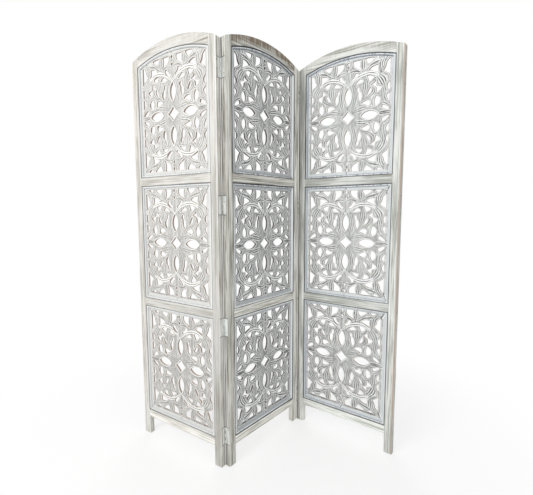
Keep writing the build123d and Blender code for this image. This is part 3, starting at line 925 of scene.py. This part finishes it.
def carvedTimber(name, leaf, offset):
    material, b, shader, onLeaf, grainPlace = startMaterial(name, leaf, upright, offset)
    look = leafPaintAndLight[leaf]
    axes = b.axes(onLeaf)
    coat = rubbedCoat(
        b, grainPlace, look["board"], look["boardGrey"], carvedWear["rub"], carvedWear["wear"], 0.0
    )
    # dark blotches on the board, stronger towards the bottom of the leaf
    blotch = b.noise(onLeaf, carvedWear["blotchScale"])
    blotched = b.ramp(blotch, *carvedWear["blotched"])
    lowDarkening = b.math("MULTIPLY", b.ramp(axes[2], *carvedWear["darkeningLevels"]), blotched)
    colour = b.layer(lowDarkening, look["lowDarkening"], coat["Color"], look["dark"])
    inside = fromOpening(b, onLeaf)
    margin = b.ramp(inside, *carvedWear["margin"], 0.0, carvedWear["marginShare"])
    colour = b.blend(margin, colour, look["margin"])
    # white along the ribs, partly dry-brushed paint and partly painted highlight; dark in the
    # grooves between them and round the openings, partly dark paint in the hollows and partly
    # painted shade
    groove, ribs, toOpening = (
        b.put("Attribute", {"attribute_name": layer}).outputs["Fac"]
        for layer in ("groove", "ribs", "opening")
    )
    fromRibMiddle = b.math("ABSOLUTE", b.math("SUBTRACT", b.math("FRACT", ribs), 0.5))
    onRib = b.math("SUBTRACT", 0.5, fromRibMiddle)
    colour = b.layer(b.ramp(onRib, *carvedWear["crest"]), look["crest"], colour, look["white"])
    cut = b.math(
        "MAXIMUM", b.ramp(onRib, *carvedWear["vein"]), b.ramp(groove, *carvedWear["groove"])
    )
    fromMoat = b.math("ABSOLUTE", b.math("SUBTRACT", toOpening, carvedWear["moat"]))
    moat = b.math("MULTIPLY", b.ramp(fromMoat, *carvedWear["moatWidth"]), carvedWear["moatShare"])
    worn = b.ramp(b.noise(onLeaf, carvedWear["wornScale"], 2.0), *carvedWear["worn"])
    cut = b.math("MULTIPLY", b.math("MAXIMUM", cut, moat), worn)
    colour = b.layer(cut, look["line"], colour, look["dark"])
    # painted highlights: white on the rims of the openings and on the highest straps; painted shade
    # in a timber brown on their sides
    rim = b.math("MULTIPLY", b.ramp(toOpening, *carvedWear["rim"]), look["rim"])
    height = b.math("ABSOLUTE", axes[1])
    onCrown = b.ramp(height, *carvedWear["crown"])
    crown = b.math("MULTIPLY", onCrown, b.ramp(onRib, *carvedWear["crownRib"]))
    colour = b.blend(b.math("MAXIMUM", rim, crown), colour, look["white"])
    wallShade = b.ramp(toOpening, *carvedWear["wallShade"])
    colour = b.layer(wallShade, carvedWear["wallShare"], colour, look["wallShade"])
    finishPaint(b, shader, colour, blotch, carvedWear)
    return material


metalWear = {
    "rub": 0.0,
    "wear": -0.05,
    "strokes": 0.4,
    "lightLevels": (0.3, 1.5, 1.0, 0.95),
    "spotScale": 150.0,
    "patchScale": 30.0,
    "patchShare": 0.4,
    "chipped": (0.84, 0.94),
    "hingeEnd": (0.0352, 0.0366, 0.0, 0.5),  # in metres from the middle of a hinge
    "roughness": (0.55, 0.35),
    "chipMetal": 0.8,
    "bump": 0.2,
    "bumpDepth": 0.0003,
}


def paintedMetal(name, leaf):
    material, b, shader, onLeaf, grainPlace = startMaterial(name, leaf, upright)
    look = leafPaintAndLight[leaf]
    coat = rubbedCoat(
        b, grainPlace, look["metal"], look["grey"], metalWear["rub"], metalWear["wear"],
        metalWear["strokes"],
    )
    # painted light: the plates are painted a little darker high on the leaf
    light = b.ramp(b.axes(onLeaf)[2], *metalWear["lightLevels"])
    colour = b.blend(1.0, coat["Color"], light, "MULTIPLY")
    spots = b.noise(onLeaf, metalWear["spotScale"], 4.0)
    patches = b.noise(onLeaf, metalWear["patchScale"], 2.0)
    chipped = b.math("ADD", spots, b.math("MULTIPLY", patches, metalWear["patchShare"]))
    chips = b.ramp(chipped, *metalWear["chipped"])
    colour = b.blend(chips, colour, paint["bare"])
    hingeEnd = b.ramp(fromHinge(b, onLeaf), *metalWear["hingeEnd"])
    colour = b.blend(hingeEnd, colour, look["seamAndShadeTone"])
    finishPaint(b, shader, colour, spots, metalWear)
    roughness = b.ramp(chips, 0, 1, *metalWear["roughness"])
    b.tree.links.new(roughness, shader.inputs["Roughness"])
    metal = b.math("MULTIPLY", chips, metalWear["chipMetal"])
    b.tree.links.new(metal, shader.inputs["Metallic"])
    return material


def dress(name, material):
    piece = nodes[name]
    piece.data.materials.clear()
    piece.data.materials.append(material)


# each timber's rub, which greys its coat, its wear, which bares it, its crest, which bares the top
# of an arched rail, and its painted light high and low on the leaf, which multiplies its colour
timberWearAndLight = {
    "left_leaf": {
        "top_rail": (-0.04, -0.06, 0.12, 0.92, 0.92),
        "upper_rail": (0.02, -0.03, 0, 0.94, 0.94),
        "lower_rail": (0.02, -0.01, 0, 0.87, 0.87),
        "bottom_rail": (0.0, 0.0, 0, 1.16, 1.16),
        "left_stile": (0.03, 0.01, 0, 0.94, 0.94),
        "right_stile": (0.0, -0.02, 0, 0.92, 0.74),
    },
    "middle_leaf": {
        "top_rail": (0.06, 0.04, 0.9, 0.94, 0.94),
        "upper_rail": (0.04, 0.0, 0, 1.02, 1.02),
        "lower_rail": (0.05, 0.02, 0, 1.16, 1.16),
        "bottom_rail": (0.0, 0.0, 0, 1.4, 1.4),
        "left_stile": (0.06, 0.03, 0, 1.2, 1.02),
        "right_stile": (0.02, -0.01, 0, 1.25, 1.3),
    },
    "right_leaf": {
        "top_rail": (0.0, -0.03, 0.2, 1.04, 1.04),
        "upper_rail": (0.03, 0.0, 0, 1.0, 1.0),
        "lower_rail": (0.04, 0.01, 0, 0.98, 0.98),
        "bottom_rail": (0.0, -0.02, 0, 1.27, 1.27),
        "left_stile": (0.07, 0.03, 0, 0.86, 1.3),
        "right_stile": (0.01, 0.01, 0, 1.04, 1.04),
    },
}
grainStep = {"leaf": 1.7, "member": 0.9, "rise": 0.6, "bead": 3.1, "board": 2.3}
for leafNumber, (leaf, members) in enumerate(timberWearAndLight.items()):
    for memberNumber, (member, wearAndLight) in enumerate(members.items()):
        turn = upright if member.endswith("stile") else lying
        offset = (
            grainStep["leaf"] * leafNumber,
            grainStep["member"] * memberNumber,
            grainStep["rise"] * memberNumber + leafNumber,
        )
        piece = f"{leaf}_{member}"
        dress(piece, frameTimber(f"{piece}_coat", leaf, turn, offset, *wearAndLight))
    beadCoat = beadTimber(f"{leaf}_bead_coat", leaf, (leafNumber, grainStep["bead"], 0))
    for storey in ("top", "middle", "bottom"):
        dress(f"{leaf}_{storey}_beads", beadCoat)
folds = {"left_fold": ("left", "middle"), "right_fold": ("middle", "right")}
for fold, foldLeaves in folds.items():
    for side in foldLeaves:
        hingeCoat = paintedMetal(f"{fold}_{side}_hinge_coat", f"{side}_leaf")
        dress(f"{fold}_{side}_hinge_plates", hingeCoat)
        dress(f"{fold}_{side}_screws", hingeCoat)
    dress(f"{fold}_hinge_pins", paintedMetal(f"{fold}_pin_coat", "middle_leaf"))
print("frame painted")

# the nine carved boards: two are carved, and the others are copies of them, some cut off centre
# by this many millimetres across and up
carvingShifts = {
    "left_leaf_middle": (-6.0, 6.0),
    "left_leaf_bottom": (4.0, 4.0),
    "middle_leaf_bottom": (0.0, 3.0),
    "right_leaf_bottom": (-8.0, 6.0),
}


def shiftCarving(mesh, middle, across, up):
    # moves the carved field, and takes up the shift in the plain margin round it
    points = np.empty(3 * len(mesh.vertices))
    mesh.vertices.foreach_get("co", points)
    points = points.reshape(-1, 3)
    outX = carving["boardHalfWidth"] - np.abs(points[:, 0] / mm)
    outZ = carving["boardHalfHeight"] - np.abs(points[:, 2] / mm - middle)
    shareX = outX / (carving["boardHalfWidth"] - carving["halfWidth"])
    shareZ = outZ / (carving["boardHalfHeight"] - carving["halfHeight"])
    share = np.clip(np.minimum(shareX, shareZ), 0, 1)
    points[:, 0] += across * mm * share
    points[:, 2] += up * mm * share
    mesh.vertices.foreach_set("co", points.ravel())


carved = {}
for kind, storey in (("square", "middle"), ("arched", "top")):
    pattern = f"middle_leaf_{storey}_panel"
    carved[kind] = carveShell(kind + "Carving", pattern, kind == "arched")
    print("carved the", kind, "board")
boardKinds = {
    "top": ("arched", 0),
    "middle": ("square", 0),
    "bottom": ("square", -opening["storeyHeight"]),
}
for leafNumber, leaf in enumerate(leafPlaces):
    boardCoat = carvedTimber(f"{leaf}_carving_coat", leaf, (leafNumber, 0, grainStep["board"]))
    for storey, (kind, lift) in boardKinds.items():
        node = f"{leaf}_{storey}_panel"
        dress(node, boardCoat)
        if kind not in carved:
            continue
        shell, middle = carved[kind]
        board = bpy.data.objects.new(f"{leaf}_{storey}_carving", shell.data.copy())
        bpy.context.scene.collection.objects.link(board)
        if f"{leaf}_{storey}" in carvingShifts:
            shiftCarving(board.data, middle, *carvingShifts[f"{leaf}_{storey}"])
        board.data.transform(leafMatrix(leaf) @ Matrix.Translation((0, 0, lift)))
        board.data.materials.clear()
        board.data.materials.append(boardCoat)
        finishPiece(board, leaf, node)
for shell, _ in carved.values():
    bpy.data.objects.remove(shell)
print("boards in place")

studio = {
    "worldStrength": 0.62,
    "floorSize": 40.0,
    "floorGrey": (0.93, 0.93, 0.93, 1),
    "floorRoughness": 0.9,
    "floorWhite": (0.6, 1.6, 0.6, 1.0),  # share of plain white, near and far from the screen
    "lampTarget": (0, 0, 0.9),
    "lamps": {
        "keyLamp": {"place": (-2.2, -3.2, 2.9), "size": 2.2, "power": 95.0},
        "fillLamp": {"place": (2.8, -2.4, 2.2), "size": 2.6, "power": 22.0},
        "backLamp": {"place": (-0.6, 3.6, 2.6), "size": 2.6, "power": 45.0},
    },
}
bpy.ops.mesh.primitive_plane_add(size=studio["floorSize"], location=(0, 0, 0))
floor = bpy.context.active_object
floor.name = "floor"
floorPaint = bpy.data.materials.new("floorPaint")
floorPaint.use_nodes = True
b = Builder(floorPaint.node_tree)
shader = floorPaint.node_tree.nodes["Principled BSDF"]
shader.inputs["Base Color"].default_value = studio["floorGrey"]
shader.inputs["Roughness"].default_value = studio["floorRoughness"]
shader.inputs["Specular IOR Level"].default_value = 0.0
white = b.put("Emission", None, Color=(1, 1, 1, 1), Strength=1.0)
onFloor = b.put("TexCoord").outputs["Object"]
fromMiddle = b.put("VectorMath", {"operation": "LENGTH"}, i0=onFloor).outputs["Value"]
cameraRay = b.put("LightPath").outputs["Is Camera Ray"]
seen = b.math("MULTIPLY", b.ramp(fromMiddle, *studio["floorWhite"]), cameraRay)
mixed = b.put("MixShader", None, i0=seen, i1=shader.outputs[0], i2=white.outputs[0])
surface = floorPaint.node_tree.nodes["Material Output"].inputs["Surface"]
b.tree.links.new(mixed.outputs[0], surface)
floor.data.materials.append(floorPaint)

world = bpy.data.worlds.new("studio")
bpy.context.scene.world = world
world.use_nodes = True
b = Builder(world.node_tree)
background = world.node_tree.nodes["Background"]
path = b.put("LightPath").outputs
clear = b.math("MAXIMUM", path["Is Camera Ray"], path["Is Glossy Ray"])
clear = b.math("MAXIMUM", clear, path["Is Transmission Ray"])
strength = b.ramp(clear, 0, 1, studio["worldStrength"], 1.0, smooth=False)
b.tree.links.new(strength, background.inputs["Strength"])
background.inputs["Color"].default_value = (1, 1, 1, 1)

for lampName, lampSet in studio["lamps"].items():
    bpy.ops.object.light_add(type="AREA", location=lampSet["place"])
    lamp = bpy.context.active_object
    lamp.name = lampName
    lamp.data.size = lampSet["size"]
    lamp.data.energy = lampSet["power"]
    aim = Vector(studio["lampTarget"]) - Vector(lampSet["place"])
    lamp.rotation_euler = aim.to_track_quat("-Z", "Y").to_euler()
print("studio lit")

cameraView = {
    "place": (0.23308, -1.60675, 1.0891),
    "heading": 9.213,
    "pitch": -5.82,
    "roll": -0.25,
    "lens": 24.34,
    "sensor": 36,
    "shift": (0.0174, -0.0007),
    "near": 0.05,
}
bpy.ops.object.camera_add(location=cameraView["place"])
camera = bpy.context.active_object
camera.rotation_euler = (
    Matrix.Rotation(math.radians(cameraView["heading"]), 3, "Z")
    @ Matrix.Rotation(math.radians(90 + cameraView["pitch"]), 3, "X")
    @ Matrix.Rotation(math.radians(cameraView["roll"]), 3, "Z")
).to_euler()
camera.data.lens = cameraView["lens"]
camera.data.sensor_width = cameraView["sensor"]
camera.data.shift_x, camera.data.shift_y = cameraView["shift"]
camera.data.clip_start = cameraView["near"]
bpy.context.scene.camera = camera
bpy.context.scene.view_settings.view_transform = "Standard"
